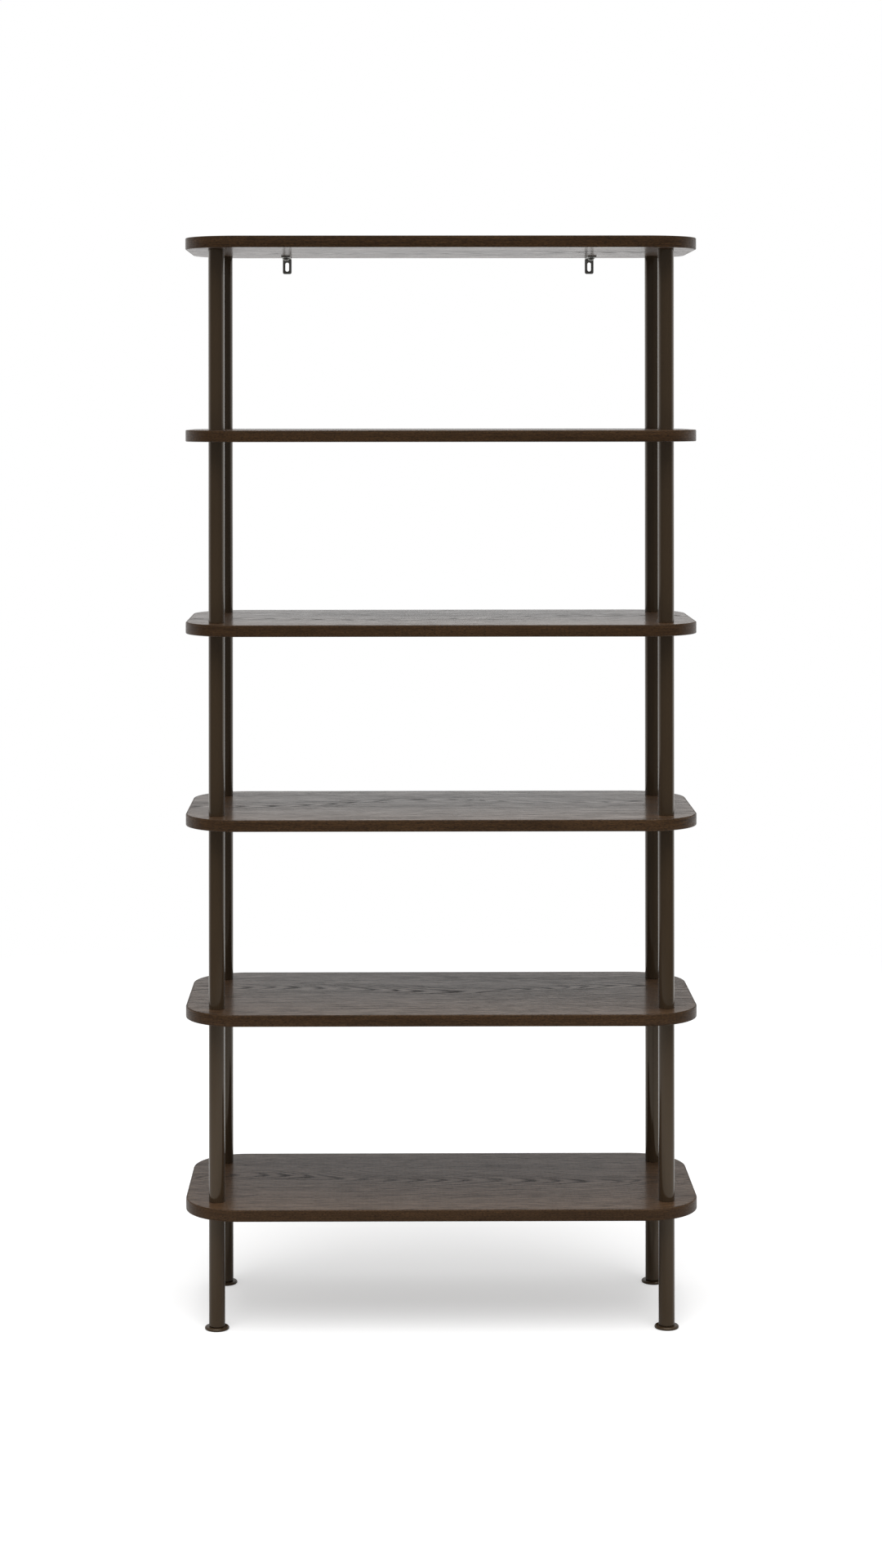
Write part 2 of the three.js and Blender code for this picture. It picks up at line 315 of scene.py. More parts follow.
class ShelvingColours(bpy.types.PropertyGroup):
    """Colours and gloss of the finishes."""

    oak_dark: colour("Oak dark", "Late wood of the stained oak", (0.030, 0.0155, 0.0072))
    oak_light: colour("Oak light", "Early wood of the stained oak", (0.125, 0.068, 0.032))
    oak_pore: colour("Oak pore", "Stain held in the pores", (0.008, 0.0045, 0.0025))
    band_dark: colour("Band dark", "Dark fibres of the edge band", (0.026, 0.013, 0.0055))
    band_light: colour("Band light", "Light fibres of the edge band", (0.100, 0.053, 0.0235))
    oak_gloss: share("Oak roughness", "Roughness of the satin lacquer", 0.18)
    bronze: colour("Bronze", "Dark bronze powder coat", (0.048, 0.0305, 0.0165))
    bronze_gloss: share("Bronze roughness", "Roughness of the powder coat", 0.10)
    zinc: colour("Zinc", "Zinc plate", (0.30, 0.30, 0.28))
    zinc_gloss: share("Zinc roughness", "Roughness of the zinc plate", 0.34)


class ShelvingStage(bpy.types.PropertyGroup):
    """Camera, lamps and white surroundings."""

    camera_side: FloatProperty(
        name="Camera side", description="Camera's place to the right of the middle",
        default=-0.076, unit="LENGTH", subtype="DISTANCE",
    )
    camera_distance: length("Camera distance", "Camera's distance from the middle", 4.761)
    camera_height: length("Camera height", "Camera's height over the floor", 1.4372)
    camera_yaw: rotation("Camera yaw", "Turn of the view to the right", 0.0063)
    camera_roll: rotation("Camera roll", "Turn of the view about its own line", 0.0008)
    lens: FloatProperty(name="Lens", description="Focal length in millimetres", default=68.42)
    shift_across: FloatProperty(name="Shift across", description="Lens shift to the right", default=0.0190)
    shift_up: FloatProperty(name="Shift up", description="Lens shift upwards", default=-0.2416)
    front_level: strength("Front level", "Light from the room in front of the unit", 0.6)
    back_level: strength("Back level", "Light from the white room behind the unit", 1.25)
    top_level: strength("Top level", "Light from the ceiling", 0.9)
    lamp_strength: strength("Lamp strength", "Strength of the wide lamp over the front", 2.0)
    lamp_tilt: rotation("Lamp tilt", "How far the lamp stands in front of the zenith", math.radians(24))
    lamp_spread: rotation("Lamp spread", "How wide the lamp looks from the unit", math.radians(50))


# Tools for modelling in edit mode


def select_only(*pieces):
    """Deselect everything, then select these objects, the first one active."""
    if bpy.context.mode != "OBJECT":
        bpy.ops.object.mode_set(mode="OBJECT")
    bpy.ops.object.select_all(action="DESELECT")
    for piece in pieces:
        piece.select_set(True)
    if pieces:
        bpy.context.view_layer.objects.active = pieces[0]


def settle():
    """Leave edit mode and put the active object's place into its mesh."""
    if bpy.context.mode != "OBJECT":
        bpy.ops.object.mode_set(mode="OBJECT")
    bpy.ops.object.transform_apply(location=True, rotation=True, scale=True)
    return bpy.context.active_object


def edit(piece):
    select_only(piece)
    bpy.ops.object.mode_set(mode="EDIT")
    bpy.ops.mesh.select_mode(type="VERT")
    bpy.ops.mesh.select_all(action="SELECT")


def pick(kind, test):
    """In edit mode, select only the faces or edges that pass the test."""
    bpy.ops.mesh.select_mode(type=kind)
    bpy.ops.mesh.select_all(action="DESELECT")
    data = bpy.context.edit_object.data
    shell = bmesh.from_edit_mesh(data)
    for part in shell.faces if kind == "FACE" else shell.edges:
        if test(part):
            part.select_set(True)
    bmesh.update_edit_mesh(data)


def runs_along(edge, axis):
    """Whether an edge runs along the axis with this number."""
    line = edge.verts[1].co - edge.verts[0].co
    return abs(line[axis]) > FACING * line.length


def edge_at(edge, axis, place):
    return all(abs(corner.co[axis] - place) < SAME_PLACE for corner in edge.verts)


def bevel(radius, segments):
    """In edit mode, round the selected edges."""
    bpy.ops.mesh.bevel(offset=radius, segments=segments, affect="EDGES", clamp_overlap=False)


def block(low, high):
    """A box between two corners."""
    select_only()
    low, high = Vector(low), Vector(high)
    bpy.ops.mesh.primitive_cube_add(size=1, location=(low + high) / 2, scale=high - low)
    return settle()


def close_shell(piece):
    """Merge what coincides and turn every face outwards."""
    edit(piece)
    bpy.ops.mesh.remove_doubles(threshold=MERGE_REACH)
    bpy.ops.mesh.normals_make_consistent(inside=False)
    return settle()


def turned(profile, sides, closed_loop=False):
    """Draw a circle at the profile's first point, then extrude and scale it through the others."""
    radius, height = profile[0]
    select_only()
    bpy.ops.mesh.primitive_circle_add(
        vertices=sides, radius=radius, location=(0, 0, height),
        fill_type="NOTHING" if closed_loop else "NGON",
    )
    edit(settle())
    for next_radius, next_height in profile[1:]:
        rise = (0, 0, next_height - height)
        bpy.ops.mesh.extrude_region_move(TRANSFORM_OT_translate={"value": rise})
        scale = next_radius / radius
        bpy.ops.transform.resize(value=(scale, scale, 1), center_override=(0, 0, next_height))
        radius, height = next_radius, next_height
    return close_shell(settle())


def cut(piece, *cutters):
    """Take the cutters away from the piece."""
    apply_boolean(piece, "DIFFERENCE", cutters)


def weld(piece, *others):
    """Make one shell of the piece and the others."""
    apply_boolean(piece, "UNION", others)


def apply_boolean(piece, operation, others):
    for other in others:
        select_only(piece)
        step = piece.modifiers.new("Boolean", "BOOLEAN")
        step.operation = operation
        step.solver = "EXACT"
        step.object = other
        bpy.ops.object.modifier_apply(modifier=step.name)
        select_only(other)
        bpy.ops.object.delete()
    select_only(piece)


def drill(radius, place, bottom, top):
    """A round cutter between two heights."""
    select_only()
    bpy.ops.mesh.primitive_cylinder_add(
        vertices=SMALL_SIDES, radius=radius, depth=top - bottom,
        location=(place[0], place[1], (bottom + top) / 2),
    )
    return settle()


def slot_cutter(low, high, through):
    """A block whose four edges along one axis are rounded until its short sides are half circles."""
    cutter = block(low, high)
    spans = [high[axis] - low[axis] for axis in range(3) if axis != through]
    edit(cutter)
    pick("EDGE", lambda edge: runs_along(edge, through))
    bevel(min(spans) / 2, SLOT_SEGMENTS)
    settle()
    return close_shell(cutter)


def break_edges(piece, size):
    """Round the sharp edges a little."""
    select_only(piece)
    step = piece.modifiers.new("Bevel", "BEVEL")
    step.width = size
    step.segments = BREAK_SEGMENTS
    step.limit_method = "ANGLE"
    step.angle_limit = SHARP_ANGLE
    bpy.ops.object.modifier_apply(modifier=step.name)


def smooth(piece):
    select_only(piece)
    bpy.ops.object.shade_smooth_by_angle(angle=SMOOTH_ANGLE)


def copy_of(master, offset):
    """A copy with its own mesh, moved by the offset."""
    select_only(master)
    bpy.ops.object.duplicate_move(TRANSFORM_OT_translate={"value": tuple(offset)})
    return settle()


def remove(piece):
    select_only(piece)
    bpy.ops.object.delete()


def dress(piece, finish, node, slot, *materials):
    """Name a finished piece, give it its materials and let it stand for its CAD node."""
    piece.name = f"{finish}_{node}"
    piece.data.name = piece.name
    for material in materials:
        piece.data.materials.append(material)
    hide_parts(node)
    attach(piece, BODY_OF_NODE[node])


def middle(node):
    """The middle of a CAD node, seen from above."""
    low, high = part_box(node)
    return (low.x + high.x) / 2, (low.y + high.y) / 2


# Tools for shaders


class Wire:
    """A shader socket that can stand in a sum."""

    def __init__(self, shader, socket):
        self.shader = shader
        self.socket = socket

    def maths(self, operation, *values):
        return self.shader.node("ShaderNodeMath", {"operation": operation}, dict(enumerate(values)))

    def __add__(self, other):
        return self.maths("ADD", self, other)

    def __radd__(self, other):
        return self.maths("ADD", other, self)

    def __sub__(self, other):
        return self.maths("SUBTRACT", self, other)

    def __rsub__(self, other):
        return self.maths("SUBTRACT", other, self)

    def __mul__(self, other):
        return self.maths("MULTIPLY", self, other)

    def __rmul__(self, other):
        return self.maths("MULTIPLY", other, self)

    def __truediv__(self, other):
        return self.maths("DIVIDE", self, other)

    def __rtruediv__(self, other):
        return self.maths("DIVIDE", other, self)

    def __pow__(self, other):
        return self.maths("POWER", self, other)

    def root(self):
        return self.maths("SQRT", self)

    def most(self, other):
        return self.maths("MAXIMUM", self, other)

    def raised(self):
        """From -1...1 to 0...1."""
        return self * HALF + HALF

    def between(self, low, high):
        """From 0...1 to low...high."""
        return self * (high - low) + low


class Shader:
    """The nodes of one material, or of the world."""

    def __init__(self, tree):
        self.tree = tree
        tree.nodes.clear()

    def node(self, kind, settings=(), inputs=(), output=0):
        """Add a node, make its settings, then fill its sockets with values or wires."""
        made = self.tree.nodes.new(kind)
        for name, value in dict(settings).items():
            if name == "stops":
                self.set_stops(made.color_ramp, value)
            else:
                setattr(made, name, value)
        for socket, value in dict(inputs).items():
            if isinstance(value, Wire):
                self.tree.links.new(value.socket, made.inputs[socket])
            else:
                made.inputs[socket].default_value = value
        return Wire(self, made.outputs[output]) if made.outputs else None

    def set_stops(self, ramp, stops):
        """Give a ramp its stops, each a place and a grey level."""
        while len(ramp.elements) < len(stops):
            ramp.elements.new(1)
        for element, (place, level) in zip(ramp.elements, stops):
            element.position = place
            element.color = (level, level, level, 1)

    def blend(self, factor, first, second):
        """Mix two colours."""
        return self.node(
            "ShaderNodeMix", {"data_type": "RGBA"},
            {MIX_FACTOR: factor, MIX_FIRST: first, MIX_SECOND: second}, MIX_RESULT,
        )

    def ramp(self, value, stops):
        return self.node("ShaderNodeValToRGB", {"stops": stops}, {"Fac": value})

    def spread(self, value, start, end):
        """From 0 at the start to 1 at the end, and no further."""
        return self.node("ShaderNodeMapRange", (), {"Value": value, "From Min": start, "From Max": end})

    def vector(self, x, y, z):
        return self.node("ShaderNodeCombineXYZ", (), {"X": x, "Y": y, "Z": z})

    def noise(self, vector, scale, detail=1.0, roughness=HALF):
        return self.node(
            "ShaderNodeTexNoise", (),
            {"Vector": vector, "Scale": scale, "Detail": detail, "Roughness": roughness},
        )

    def grain(self, layer, along, across, seed):
        """A layer of a wood's figure."""
        place = self.vector(along * layer.along, across * layer.across, seed + layer.seed)
        return self.noise(place, 1.0, layer.detail, layer.roughness)

    def bump(self, height, strength, distance):
        return self.node(
            "ShaderNodeBump", (), {"Height": height, "Strength": strength, "Distance": distance}, "Normal",
        )

    def place(self, kind="Object"):
        """A point's coordinates as one vector."""
        return self.node("ShaderNodeTexCoord", output=kind)

    def coordinates(self, kind):
        """A point's three coordinates, each as a wire."""
        place = self.place(kind)
        return [self.node("ShaderNodeSeparateXYZ", (), {0: place}, axis) for axis in range(3)]


def rgba(colour):
    return (*colour, 1)


def new_material(name):
    material = bpy.data.materials.new(name)
    material.use_nodes = True
    return material, Shader(material.node_tree)


def finish_material(shader, inputs):
    surface = shader.node("ShaderNodeBsdfPrincipled", (), inputs, "BSDF")
    shader.node("ShaderNodeOutputMaterial", (), {"Surface": surface})


# Finishes


def ring_pattern(shader, along, across, seed):
    """The dark late wood of the rings, from 0 to about 2."""
    spine = shader.grain(SPINE, along, seed, seed)
    wander = shader.grain(RING_WANDER, along, across, seed)
    offset = across + (spine - HALF) * SPINE_SWING
    depth = (offset * offset + CROWN_WIDTH ** 2).root()
    distance = along * RING_SLOPE + depth + wander * RING_WANDER_REACH
    spacing = shader.grain(RING_SPACING, distance, seed, seed)
    boldness = shader.grain(RING_BOLDNESS, distance, seed, seed)
    angle = (distance + spacing * RING_SPACING_REACH) * (FULL_TURN / RING_WIDTH)
    late_wood = angle.maths("SINE", angle).raised() ** RING_SHARPNESS
    crown = CROWN_WIDTH / depth
    return late_wood * boldness.between(*RING_BOLD_RANGE) * crown.between(*RING_CROWN_RANGE)


def tone_of(base, layers):
    """A base level with each layer's drift about its middle added."""
    return base + sum((noise - HALF) * layer.share for layer, noise in layers.items())


def veneer_figure(shader, along, across, seed):
    """The figure of plain-sawn oak: its tone, its relief and its pores."""
    layers = {
        layer: shader.grain(layer, along, across, seed)
        for layer in (VENEER_PATCH, VENEER_STREAK, VENEER_FIBRE, VENEER_DASH)
    }
    fibre, dash = layers[VENEER_FIBRE], layers[VENEER_DASH]
    rings = ring_pattern(shader, along, across, seed) * dash.between(*RING_DASH_RANGE)
    pores = shader.ramp(shader.grain(VENEER_PORE, along, across, seed), PORE_STOPS)
    pores *= rings.between(*PORE_LEAST_RANGE)
    tone = tone_of(VENEER_LIGHT, layers) - rings * RING_DARKNESS
    return tone, fibre * FIBRE_RELIEF + dash * DASH_RELIEF - pores, pores


def band_figure(shader, along, height, seed):
    """The figure of a quarter-sawn strip: its tone, its relief and its pores."""
    layers = {
        layer: shader.grain(layer, along, height, seed) for layer in (BAND_PATCH, BAND_FIBRE, BAND_FLECK)
    }
    fibre, fleck = layers[BAND_FIBRE], layers[BAND_FLECK]
    pores = shader.ramp(shader.grain(BAND_PORE, along, height, seed), PORE_STOPS)
    return tone_of(BAND_LIGHT, layers), fibre * FIBRE_RELIEF + fleck * FLECK_RELIEF - pores, pores


def stain(shader, figure, dark, light, pore):
    """Colour and bump of a stained figure."""
    tone, relief, pores = figure
    wood = shader.blend(tone, rgba(dark), rgba(light))
    stained = shader.blend(pores * PORE_STAIN, wood, rgba(pore))
    return stained, shader.bump(relief, WOOD_BUMP, WOOD_BUMP_HEIGHT)


def board_number(shader):
    """Counts the boards up from the floor, so that each has a figure of its own."""
    _, _, z = shader.coordinates("Object")
    rise = z * (1 / BOARD_PITCH)
    return rise.maths("FLOOR", rise)


def oak_veneer(colours):
    """Stained oak veneer with its grain along the board, under a satin lacquer that its pores drink."""
    material, shader = new_material("stained oak veneer")
    x, y, _ = shader.coordinates("Object")
    board = board_number(shader)
    figure = veneer_figure(shader, x + board * VENEER_BOARD_STEP, y, board * VENEER_SEED_STEP)
    stained, bump = stain(shader, figure, colours.oak_dark, colours.oak_light, colours.oak_pore)
    tone, _, pores = figure
    finish_material(shader, {
        "Base Color": stained, "Normal": bump, "Specular IOR Level": WOOD_SPECULAR,
        "Roughness": pores * PORE_ROUGHENING + WOOD_ROUGHNESS,
        "Coat Weight": tone.between(*COAT_RANGE) - pores * COAT_LOST_IN_PORES,
        "Coat Roughness": colours.oak_gloss,
    })
    return material


def oak_band(colours):
    """Oak edge band: long fibres that follow the edge of the board."""
    material, shader = new_material("stained oak edge band")
    along, height, _ = shader.coordinates("UV")
    board = board_number(shader)
    figure = band_figure(shader, along + board * BAND_BOARD_STEP, height, board * BAND_SEED_STEP)
    stained, bump = stain(shader, figure, colours.band_dark, colours.band_light, colours.oak_pore)
    _, _, pores = figure
    finish_material(shader, {
        "Base Color": stained, "Normal": bump, "Specular IOR Level": WOOD_SPECULAR,
        "Roughness": pores * PORE_ROUGHENING + (colours.oak_gloss + BAND_ROUGHENING),
    })
    return material


def glue_line(colours):
    """The dark line where the edge band meets the veneer."""
    material, shader = new_material("glue line")
    patch = shader.noise(shader.place(), GLUE_PATCHES)
    dark = shader.blend(patch, rgba(colours.oak_pore), rgba(colours.oak_dark))
    finish_material(shader, {"Base Color": dark, "Roughness": GLUE_ROUGHNESS})
    return material


def bronze_paint(colours):
    """Semi-gloss powder coat: a faint orange peel and a little drift in tone and gloss."""
    material, shader = new_material("dark bronze powder coat")
    place = shader.place()
    peel = shader.noise(place, PEEL)
    grain = shader.noise(place, GRAIN)
    drift = shader.noise(place, DRIFT, DRIFT_DETAIL)
    dark = [channel * PAINT_DARKER for channel in colours.bronze]
    light = [channel * PAINT_LIGHTER for channel in colours.bronze]
    tone = drift * PAINT_DRIFT_SHARE + grain * (1 - PAINT_DRIFT_SHARE)
    gloss = colours.bronze_gloss
    finish_material(shader, {
        "Base Color": shader.blend(tone, rgba(dark), rgba(light)),
        "Roughness": drift.between(gloss - PAINT_GLOSS_DRIFT, gloss + PAINT_GLOSS_DRIFT),
        "Normal": shader.bump(peel + grain * PAINT_GRAIN_RELIEF, PAINT_BUMP, PAINT_BUMP_HEIGHT),
        "Specular IOR Level": PAINT_SPECULAR, "Specular Tint": rgba(PAINT_TINT),
    })
    return material


def zinc_plate(colours):
    """Zinc-plated steel: rolling lines across the strip, and cloudy patches of passivation."""
    material, shader = new_material("zinc plate")
    x, y, z = shader.coordinates("Object")
    lines = shader.vector(x * ROLLING_LINES, y * ROLLING_LENGTHS, z * ROLLING_LENGTHS)
    rolling = shader.noise(lines, 1.0, ZINC_DETAIL)
    cloud = shader.noise(shader.place(), CLOUDS, ZINC_DETAIL)
    dull = [channel * ZINC_DULLER for channel in colours.zinc]
    roughening = cloud * ZINC_CLOUD_ROUGHENING + rolling * ZINC_LINE_ROUGHENING
    finish_material(shader, {
        "Base Color": shader.blend(cloud, rgba(colours.zinc), rgba(dull)), "Metallic": 1.0,
        "Roughness": roughening + (colours.zinc_gloss - ZINC_SMOOTHING),
        "Normal": shader.bump(rolling, ZINC_BUMP, ZINC_BUMP_HEIGHT),
    })
    return material


def material_once(maker):
    """The material that the maker gives, made at its first use."""
    found = MADE.get(maker.__name__)
    if found is None:
        found = MADE[maker.__name__] = maker(bpy.context.scene.shelving_colours)
    return found


# The metal finishes: the word that starts a piece's name, its slot and its material
BRONZE = ("bronze", "bronze_paint", bronze_paint)
ZINC = ("zinc", "zinc_plate", zinc_plate)


def dress_copy(master, offset, node, metal):
    """Let a moved copy of a metal piece stand for a CAD node."""
    word, slot, maker = metal
    dress(copy_of(master, offset), word, node, slot, material_once(maker))


def stand(master, node, metal):
    """Let a copy of a metal piece that was made on the origin stand where its CAD node does."""
    dress_copy(master, (*middle(node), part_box(node)[0].z), node, metal)


# Boards


def board_shell(sizes, low, high):
    """A board with rounded corners and eased edges, its faces parted into veneer, glue line and band."""
    board = block(low, high)
    edit(board)
    pick("EDGE", lambda edge: runs_along(edge, 2))
    bevel(sizes.board_corner, CORNER_SEGMENTS)
    pick("EDGE", lambda edge: edge_at(edge, 2, low.z) or edge_at(edge, 2, high.z))
    bevel(sizes.board_easing, EASING_SEGMENTS)
    settle()
    for face in board.data.polygons:
        face.material_index = BAND_PLACE

    def is_flat(face):
        return abs(face.normal.z) > FACING and face.calc_area() > sizes.board_corner ** 2

    edit(board)
    for width, place in ((sizes.band_reach, GLUE_PLACE), (sizes.glue_line, VENEER_PLACE)):
        pick("FACE", is_flat)
        bpy.ops.mesh.inset(thickness=width, depth=0)
        data = bpy.context.edit_object.data
        shell = bmesh.from_edit_mesh(data)
        for face in shell.faces:
            if face.select:
                face.material_index = place
        bmesh.update_edit_mesh(data)
    return settle()


def unroll_band(board, sizes):
    """Lay the band's UV map out flat: the distance round the board, then the height on its edge."""
    corner = sizes.board_corner
    half_x, half_y = BOARD_HIGH.x - corner, BOARD_HIGH.y - corner
    arc = corner * QUARTER_TURN
    lengths = (2 * half_y, arc, 2 * half_x, arc) * 2
    starts = [sum(lengths[:count]) for count in range(len(lengths))]
    right, rear_right, rear, rear_left, left, front_left, front, front_right = starts
    arcs = {(1, 1): rear_right, (-1, 1): rear_left, (-1, -1): front_left, (1, -1): front_right}
    turns = {(1, 1): 0, (-1, 1): 1, (-1, -1): 2, (1, -1): 3}
    whole = sum(lengths)

    def distance_round(x, y):
        """Anticlockwise from the front end of the straight part of the right side."""
        quadrant = (int(math.copysign(1, x)), int(math.copysign(1, y)))
        if abs(x) > half_x and abs(y) > half_y:
            turn = math.atan2(y - quadrant[1] * half_y, x - quadrant[0] * half_x)
            return arcs[quadrant] + corner * ((turn - turns[quadrant] * QUARTER_TURN) % FULL_TURN)
        if abs(x) > half_x:
            return right + half_y + y if x > 0 else left + half_y - y
        return rear + half_x - x if y > 0 else front + half_x + x

    mesh = board.data
    layer = mesh.uv_layers.active or mesh.uv_layers.new(name="UVMap")
    for face in mesh.polygons:
        if face.material_index != BAND_PLACE:
            continue
        home = distance_round(face.center.x, face.center.y)
        for loop in face.loop_indices:
            point = mesh.vertices[mesh.loops[loop].vertex_index].co
            along = distance_round(point.x, point.y)
            along -= round((along - home) / whole) * whole
            layer.data[loop].uv = (along, point.z)


def make_board(sizes, low, high, cutters):
    board = board_shell(sizes, low, high)
    cut(board, *cutters)
    unroll_band(board, sizes)
    smooth(board)
    return board


class SHELVING_OT_make_boards(bpy.types.Operator):
    """Make the six boards"""

    bl_idname = "shelving.make_boards"
    bl_label = "Make boards"

    def execute(self, context):
        sizes = context.scene.shelving_sizes
        posts = [middle(f"post_{column}_1") for column in COLUMNS]
        screws = [middle(f"bracket_screw_{side}") for side in SIDES]
        low, high = BOARD_LOW, BOARD_HIGH
        through = [drill(sizes.stud_hole, post, low.z - OVERRUN, high.z + OVERRUN) for post in posts]
        lower_board = make_board(sizes, low, high, through)
        for number in range(1, BOARD_COUNT):
            node = f"shelf_{number}"
            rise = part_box(node)[0].z - low.z
            self.dress_board(copy_of(lower_board, (0, 0, rise)), node)
        remove(lower_board)

        low, high = TOP_BOARD_LOW, TOP_BOARD_HIGH
        bottom, top = low.z - OVERRUN, low.z + sizes.blind_depth
        blind = [drill(sizes.stud_hole, post, bottom, top) for post in posts]
        blind += [drill(sizes.screw_hole, screw, bottom, top) for screw in screws]
        self.dress_board(make_board(sizes, low, high, blind), f"shelf_{BOARD_COUNT}")
        return {"FINISHED"}

    def dress_board(self, board, node):
        finishes = [material_once(maker) for maker in (oak_veneer, oak_band, glue_line)]
        dress(board, "oak", node, "stained_oak", *finishes)


# Tubes


def plugged_tube(sizes, low, high, lower_hole):
    """A tube with a welded, threaded plug in each end."""
    radius = (high.x - low.x) / 2
    inner = radius - sizes.tube_wall
    chamfer = sizes.tube_chamfer
    size = high.z - low.z
    profile = [
        (radius, chamfer),
        (radius, size - chamfer),
        (radius - chamfer, size),
        (sizes.stud_thread, size),
        (sizes.stud_thread, size - sizes.plug_depth),
        (inner, size - sizes.plug_depth),
        (inner, sizes.plug_depth),
        (lower_hole, sizes.plug_depth),
        (lower_hole, 0),
        (radius - chamfer, 0),
        (radius, chamfer),
    ]
    tube = turned(profile, TUBE_SIDES, closed_loop=True)
    smooth(tube)
    return tube


def studded_tube(sizes, low, high, tube_length):
    """The top post: a plugged tube whose upper plug carries a welded stud."""
    radius = (POST_HIGH.x - POST_LOW.x) / 2
    inner = radius - sizes.tube_wall
    chamfer = sizes.tube_chamfer
    stud = (STUD_HIGH.x - STUD_LOW.x) / 2
    top = high.z - low.z
    outside = [
        (inner, tube_length - sizes.plug_depth),
        (inner, sizes.plug_depth),
        (sizes.stud_thread, sizes.plug_depth),
        (sizes.stud_thread, 0),
        (radius - chamfer, 0),
        (radius, chamfer),
        (radius, tube_length - chamfer),
        (radius - chamfer, tube_length),
    ]
    tube = turned(outside, TUBE_SIDES)
    welded = chamfered(stud, tube_length - sizes.plug_depth / 2, top, sizes.thread_chamfer)
    weld(tube, threaded_rod(sizes.stud_pitch, welded))
    smooth(tube)
    return tube


class SHELVING_OT_make_tubes(bpy.types.Operator):
    """Make the twenty posts and the four legs"""

    bl_idname = "shelving.make_tubes"
    bl_label = "Make tubes"

    def execute(self, context):
        sizes = context.scene.shelving_sizes
        post = plugged_tube(sizes, POST_LOW, POST_HIGH, sizes.stud_thread)
        tube_length = POST_HIGH.z - POST_LOW.z
        top_post = studded_tube(sizes, TOP_POST_LOW, TOP_POST_HIGH, tube_length)
        leg = plugged_tube(sizes, LEG_LOW, LEG_HIGH, sizes.foot_thread)
        for column in COLUMNS:
            stand(leg, f"leg_{column}", BRONZE)
            for bay in range(1, BAY_COUNT):
                stand(post, f"post_{column}_{bay}", BRONZE)
            stand(top_post, f"post_{column}_{BAY_COUNT}", BRONZE)
        for master in (post, top_post, leg):
            remove(master)
        return {"FINISHED"}


# Threads, studs and feet


def threaded_rod(pitch, envelope):
    """A rod with a helical thread: one tooth's outline, wound up, then cut to the turned envelope."""
    crest = max(radius for radius, _ in envelope)
    root = crest - pitch * TOOTH_DEPTH_SHARE
    bottom, top = envelope[0][1] - pitch / 2, envelope[-1][1] + pitch / 2
    low = bottom - SPARE_TURNS * pitch
    rod = block((root, 0, low), (crest, pitch, low + pitch))
    edit(rod)
    bpy.ops.mesh.merge(type="CENTER")
    bpy.ops.transform.translate(value=(root - (root + crest) / 2, -pitch / 2, -pitch / 2))
    for across, rise in TOOTH_SHARES:
        step = (across * (crest - root), 0, rise * pitch)
        bpy.ops.mesh.extrude_region_move(TRANSFORM_OT_translate={"value": step})
    settle()
    winding = rod.modifiers.new("Screw", "SCREW")
    winding.axis = "Z"
    winding.steps = THREAD_SIDES
    winding.render_steps = THREAD_SIDES
    winding.screw_offset = pitch
    winding.iterations = math.ceil((top - low) / pitch) + 1
    bpy.ops.object.modifier_apply(modifier=winding.name)
    edit(rod)
    bpy.ops.mesh.remove_doubles(threshold=MERGE_REACH)
    for height, keeps_top in ((bottom, True), (top, False)):
        bpy.ops.mesh.select_all(action="SELECT")
        bpy.ops.mesh.bisect(
            plane_co=(0, 0, height), plane_no=(0, 0, 1), use_fill=True,
            clear_inner=keeps_top, clear_outer=not keeps_top, threshold=CUT_REACH,
        )
    settle()
    close_shell(rod)
    around = [(radius + THREAD_SLACK, height) for radius, height in envelope]
    apply_boolean(rod, "INTERSECT", [turned(around, TUBE_SIDES)])
    return rod


def chamfered(radius, bottom, top, chamfer):
    """The outline of a rod with a chamfer at each end."""
    return [
        (radius - chamfer, bottom),
        (radius, bottom + chamfer),
        (radius, top - chamfer),
        (radius - chamfer, top),
    ]


class SHELVING_OT_make_studs(bpy.types.Operator):
    """Make the twenty double-ended studs"""

    bl_idname = "shelving.make_studs"
    bl_label = "Make studs"

    def execute(self, context):
        sizes = context.scene.shelving_sizes
        radius = (STUD_HIGH.x - STUD_LOW.x) / 2
        size = STUD_HIGH.z - STUD_LOW.z
        stud = threaded_rod(sizes.stud_pitch, chamfered(radius, 0, size, sizes.thread_chamfer))
        smooth(stud)
        for column in COLUMNS:
            for number in range(1, BOARD_COUNT):
                stand(stud, f"stud_{column}_{number}", ZINC)
        remove(stud)
        return {"FINISHED"}


def levelling_foot(sizes):
    """A disc with a half-round rim, a short neck and a threaded stem."""
    radius = (FOOT_HIGH.x - FOOT_LOW.x) / 2
    rim = min(sizes.foot_rim, sizes.foot_thickness / 2)
    neck_top = LEG_LOW.z
    profile = []
    for centre_height, start in ((rim, -QUARTER_TURN), (sizes.foot_thickness - rim, 0)):
        for step in range(RIM_STEPS + 1):
            angle = start + QUARTER_TURN * step / RIM_STEPS
            profile.append((
                radius - rim + rim * math.cos(angle), centre_height + rim * math.sin(angle),
            ))
    profile += [(sizes.foot_neck, sizes.foot_thickness), (sizes.foot_neck, neck_top)]
    foot = turned(profile, TUBE_SIDES)
    stem = chamfered(sizes.foot_stem, sizes.foot_thickness, FOOT_HIGH.z, sizes.thread_chamfer)
    weld(foot, threaded_rod(sizes.foot_pitch, stem))
    smooth(foot)
    return foot


class SHELVING_OT_make_feet(bpy.types.Operator):
    """Make the four levelling feet"""

    bl_idname = "shelving.make_feet"
    bl_label = "Make feet"

    def execute(self, context):
        sizes = context.scene.shelving_sizes
        foot = levelling_foot(sizes)
        for column in COLUMNS:
            stand(foot, f"foot_{column}", BRONZE)
        remove(foot)
        return {"FINISHED"}


# Wall brackets, their screws and washers


